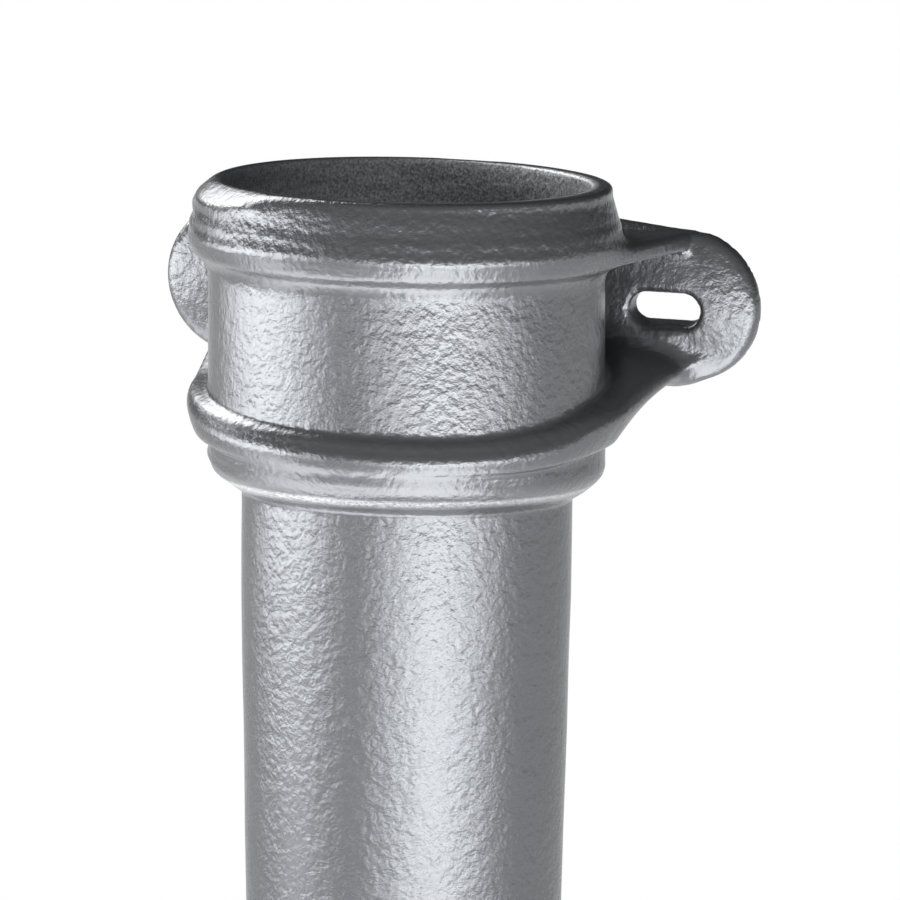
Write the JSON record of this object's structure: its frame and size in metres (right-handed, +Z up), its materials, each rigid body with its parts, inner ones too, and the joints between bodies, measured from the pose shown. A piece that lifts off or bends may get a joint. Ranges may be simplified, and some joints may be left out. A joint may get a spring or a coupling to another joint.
{
  "type": "cast iron downpipe",
  "caption": "Round cast iron rainwater pipe with a collared socket at the top, a plain spigot end and slotted fixing ears that hold it to a wall.",
  "frame": {"origin": "centre of the spigot end, on the pipe's axis, where the pipe stands", "axes": "+Z up along the pipe to the socket, +Y to the wall behind the ears, +X to the right ear seen from the front"},
  "size_m": [0.1492, 0.1003, 0.61],
  "materials": {
    "cast_iron": "bright grey as-cast metal with a fine rough skin"
  },
  "bodies": {
    "root": {"downpipe": "cast_iron"}
  },
  "joints": []
}
